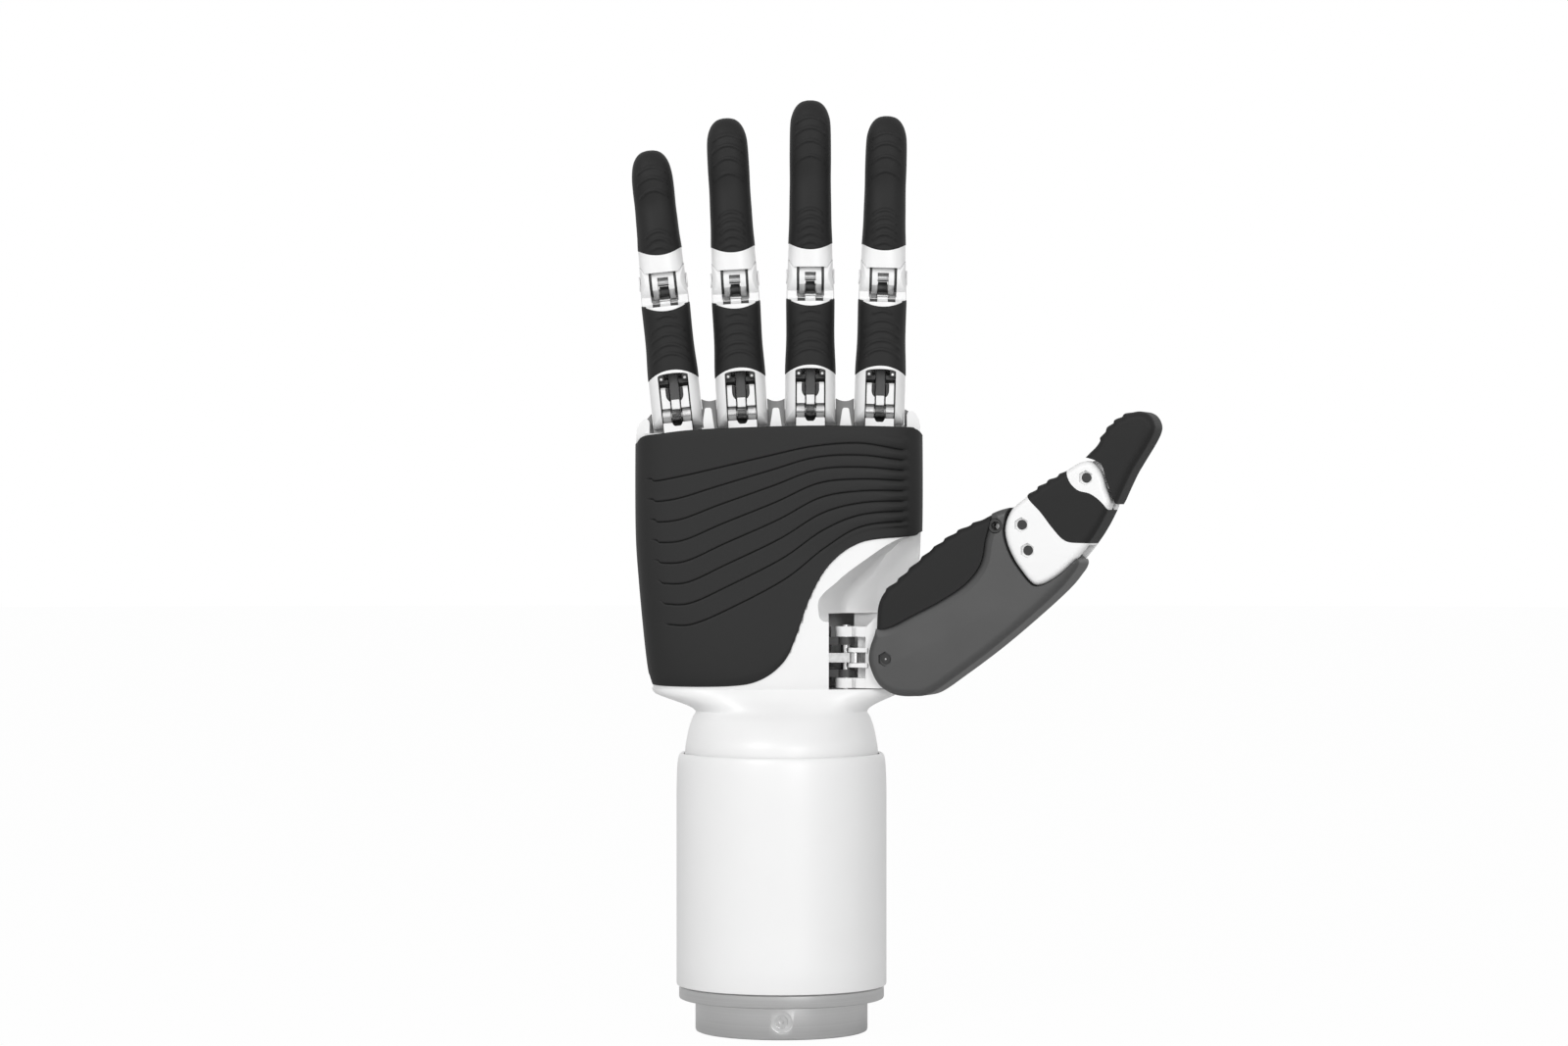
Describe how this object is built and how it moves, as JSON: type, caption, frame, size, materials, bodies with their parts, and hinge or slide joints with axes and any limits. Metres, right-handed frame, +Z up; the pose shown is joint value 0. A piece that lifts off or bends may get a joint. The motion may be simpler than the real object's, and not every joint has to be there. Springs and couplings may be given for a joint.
{
  "type": "dexterous robot hand",
  "caption": "Right hand end effector: round wrist with a mounting spigot, palm with soft pad, linkage-driven two-joint fingers and an opposable three-joint thumb.",
  "frame": {"origin": "centre of the wrist spigot's mounting face", "axes": "+Z up the wrist axis towards the fingertips, +X towards the thumb, -Y the way the palm faces"},
  "size_m": [0.1459, 0.0721, 0.2612],
  "materials": {
    "white_shell": "satin",
    "soft_pad": "matte",
    "housing_grey": "matte",
    "steel": "satin",
    "wrist_metal": "satin anodised",
    "board": "satin"
  },
  "bodies": {
    "palm": {"wrist_spigot": "wrist_metal", "wrist_flange": "wrist_metal", "wrist_sleeve": "white_shell", "wrist_neck": "white_shell", "clamp_screw": "steel", "palm_front_shell": "white_shell", "palm_back_shell": "white_shell", "palm_pad": "soft_pad", "knuckle_block": "white_shell", "knuckle_pins": "steel", "finger_actuators": "housing_grey", "yaw_actuator": "housing_grey", "control_board": "board", "shell_screws": "steel", "thumb_bracket": "housing_grey", "thumb_shaft": "steel"},
    "little_proximal_body": {"little_proximal": "white_shell", "little_proximal_pad": "soft_pad", "little_pins": "steel"},
    "little_tip_body": {"little_distal": "white_shell", "little_tip_pad": "soft_pad"},
    "little_coupler_body": {"little_coupler": "steel"},
    "little_rod_body": {"little_drive_rod": "steel"},
    "ring_proximal_body": {"ring_proximal": "white_shell", "ring_proximal_pad": "soft_pad", "ring_pins": "steel"},
    "ring_tip_body": {"ring_distal": "white_shell", "ring_tip_pad": "soft_pad"},
    "ring_coupler_body": {"ring_coupler": "steel"},
    "ring_rod_body": {"ring_drive_rod": "steel"},
    "middle_proximal_body": {"middle_proximal": "white_shell", "middle_proximal_pad": "soft_pad", "middle_pins": "steel"},
    "middle_tip_body": {"middle_distal": "white_shell", "middle_tip_pad": "soft_pad"},
    "middle_coupler_body": {"middle_coupler": "steel"},
    "middle_rod_body": {"middle_drive_rod": "steel"},
    "index_proximal_body": {"index_proximal": "white_shell", "index_proximal_pad": "soft_pad", "index_pins": "steel"},
    "index_tip_body": {"index_distal": "white_shell", "index_tip_pad": "soft_pad"},
    "index_coupler_body": {"index_coupler": "steel"},
    "index_rod_body": {"index_drive_rod": "steel"},
    "thumb_yoke_body": {"thumb_yoke": "white_shell", "thumb_yoke_pins": "steel"},
    "thumb_yaw_rod_body": {"thumb_yaw_rod": "steel"},
    "thumb_base_body": {"thumb_housing": "housing_grey", "thumb_housing_pad": "soft_pad", "thumb_base_pins": "steel", "thumb_bend_actuator": "housing_grey"},
    "thumb_bend_rod_body": {"thumb_bend_rod": "steel"},
    "thumb_coupler_body": {"thumb_coupler": "steel"},
    "thumb_tip_coupler_body": {"thumb_tip_coupler": "steel"},
    "thumb_phalanx_body": {"thumb_phalanx": "white_shell", "thumb_phalanx_pad": "soft_pad", "thumb_phalanx_pins": "steel"},
    "thumb_tip_body": {"thumb_tip": "white_shell", "thumb_tip_pad": "soft_pad"}
  },
  "joints": [
    {"name": "little_knuckle", "type": "hinge", "parent": "palm", "child": "little_proximal_body", "pos_m": [-0.0296, 0, 0.1754], "axis": [0.9945, 0, 0.1045], "range_deg": [0, 80]},
    {"name": "little_middle_joint", "type": "hinge", "parent": "little_proximal_body", "child": "little_tip_body", "pos_m": [-0.03326, 0, 0.21021], "axis": [0.9945, 0, 0.1045], "range_deg": [0, 88]},
    {"name": "little_coupler_slide", "type": "slide", "parent": "little_proximal_body", "child": "little_coupler_body", "axis": [-0.1045, 0, 0.9945], "range_m": [0, 0.0054]},
    {"name": "little_drive", "type": "slide", "parent": "palm", "child": "little_rod_body", "axis": [-0.1045, 0, 0.9945], "range_m": [0, 0.00836]},
    {"name": "ring_knuckle", "type": "hinge", "parent": "palm", "child": "ring_proximal_body", "pos_m": [-0.0112, 0, 0.176], "axis": [0.9984, 0, 0.0558], "range_deg": [0, 80]},
    {"name": "ring_middle_joint", "type": "hinge", "parent": "ring_proximal_body", "child": "ring_tip_body", "pos_m": [-0.01315, 0, 0.21095], "axis": [0.9984, 0, 0.0558], "range_deg": [0, 88]},
    {"name": "ring_coupler_slide", "type": "slide", "parent": "ring_proximal_body", "child": "ring_coupler_body", "axis": [-0.0558, 0, 0.9984], "range_m": [0, 0.0054]},
    {"name": "ring_drive", "type": "slide", "parent": "palm", "child": "ring_rod_body", "axis": [-0.0558, 0, 0.9984], "range_m": [0, 0.00836]},
    {"name": "middle_knuckle", "type": "hinge", "parent": "palm", "child": "middle_proximal_body", "pos_m": [0.0081, 0, 0.1768], "axis": [1, 0, 0], "range_deg": [0, 80]},
    {"name": "middle_middle_joint", "type": "hinge", "parent": "middle_proximal_body", "child": "middle_tip_body", "pos_m": [0.0081, 0, 0.2118], "axis": [1, 0, 0], "range_deg": [0, 88]},
    {"name": "middle_coupler_slide", "type": "slide", "parent": "middle_proximal_body", "child": "middle_coupler_body", "axis": [0, 0, 1], "range_m": [0, 0.0054]},
    {"name": "middle_drive", "type": "slide", "parent": "palm", "child": "middle_rod_body", "axis": [0, 0, 1], "range_m": [0, 0.00836]},
    {"name": "index_knuckle", "type": "hinge", "parent": "palm", "child": "index_proximal_body", "pos_m": [0.0276, 0, 0.1765], "axis": [0.9997, 0, -0.0262], "range_deg": [0, 80]},
    {"name": "index_middle_joint", "type": "hinge", "parent": "index_proximal_body", "child": "index_tip_body", "pos_m": [0.02852, 0, 0.21149], "axis": [0.9997, 0, -0.0262], "range_deg": [0, 88]},
    {"name": "index_coupler_slide", "type": "slide", "parent": "index_proximal_body", "child": "index_coupler_body", "axis": [0.0262, 0, 0.9997], "range_m": [0, 0.0054]},
    {"name": "index_drive", "type": "slide", "parent": "palm", "child": "index_rod_body", "axis": [0.0262, 0, 0.9997], "range_m": [0, 0.00836]},
    {"name": "thumb_turn", "type": "hinge", "parent": "palm", "child": "thumb_yoke_body", "pos_m": [0.0179, -0.0096, 0.1053], "axis": [0, 0, 1], "range_deg": [-75, 0]},
    {"name": "thumb_turn_drive", "type": "slide", "parent": "palm", "child": "thumb_yaw_rod_body", "axis": [1, 0, 0], "range_m": [-0.00487, 0]},
    {"name": "thumb_base_bend", "type": "hinge", "parent": "thumb_yoke_body", "child": "thumb_base_body", "pos_m": [0.03083, -0.0138, 0.1049], "axis": [0.309, 0.9511, 0], "range_deg": [-14.5, 0]},
    {"name": "thumb_middle_bend", "type": "hinge", "parent": "thumb_base_body", "child": "thumb_phalanx_body", "pos_m": [0.06774, -0.02579, 0.142], "axis": [0.309, 0.9511, 0], "range_deg": [-16.53, 0]},
    {"name": "thumb_tip_bend", "type": "hinge", "parent": "thumb_phalanx_body", "child": "thumb_tip_body", "pos_m": [0.08495, -0.03139, 0.1548], "axis": [0.309, 0.9511, 0], "range_deg": [-13.48, 0]},
    {"name": "thumb_coupler_pivot", "type": "hinge", "parent": "thumb_yoke_body", "child": "thumb_coupler_body", "pos_m": [0.02874, -0.01312, 0.1136], "axis": [0.309, 0.9511, 0], "range_deg": [-15.52, 0]},
    {"name": "thumb_tip_coupler_pivot", "type": "hinge", "parent": "thumb_base_body", "child": "thumb_tip_coupler_body", "pos_m": [0.0607, -0.02351, 0.1417], "axis": [0.309, 0.9511, 0], "range_deg": [-13.78, 0]},
    {"name": "thumb_bend_drive", "type": "slide", "parent": "thumb_base_body", "child": "thumb_bend_rod_body", "axis": [0.7178, -0.2332, 0.6561], "range_m": [-0.00156, 0]}
  ],
  "couplings": [
    {"joint": "little_middle_joint", "follows": "little_knuckle", "ratio": 1.1},
    {"joint": "little_coupler_slide", "follows": "little_knuckle", "m_per_rad": 0.003867},
    {"joint": "little_drive", "follows": "little_knuckle", "m_per_rad": 0.005985},
    {"joint": "ring_middle_joint", "follows": "ring_knuckle", "ratio": 1.1},
    {"joint": "ring_coupler_slide", "follows": "ring_knuckle", "m_per_rad": 0.003867},
    {"joint": "ring_drive", "follows": "ring_knuckle", "m_per_rad": 0.005985},
    {"joint": "middle_middle_joint", "follows": "middle_knuckle", "ratio": 1.1},
    {"joint": "middle_coupler_slide", "follows": "middle_knuckle", "m_per_rad": 0.003867},
    {"joint": "middle_drive", "follows": "middle_knuckle", "m_per_rad": 0.005985},
    {"joint": "index_middle_joint", "follows": "index_knuckle", "ratio": 1.1},
    {"joint": "index_coupler_slide", "follows": "index_knuckle", "m_per_rad": 0.003867},
    {"joint": "index_drive", "follows": "index_knuckle", "m_per_rad": 0.005985},
    {"joint": "thumb_turn_drive", "follows": "thumb_turn", "m_per_rad": 0.00372},
    {"joint": "thumb_middle_bend", "follows": "thumb_base_bend", "ratio": 1.14},
    {"joint": "thumb_tip_bend", "follows": "thumb_base_bend", "ratio": 0.93},
    {"joint": "thumb_coupler_pivot", "follows": "thumb_base_bend", "ratio": 1.07},
    {"joint": "thumb_tip_coupler_pivot", "follows": "thumb_base_bend", "ratio": 0.95},
    {"joint": "thumb_bend_drive", "follows": "thumb_base_bend", "m_per_rad": 0.005556}
  ]
}
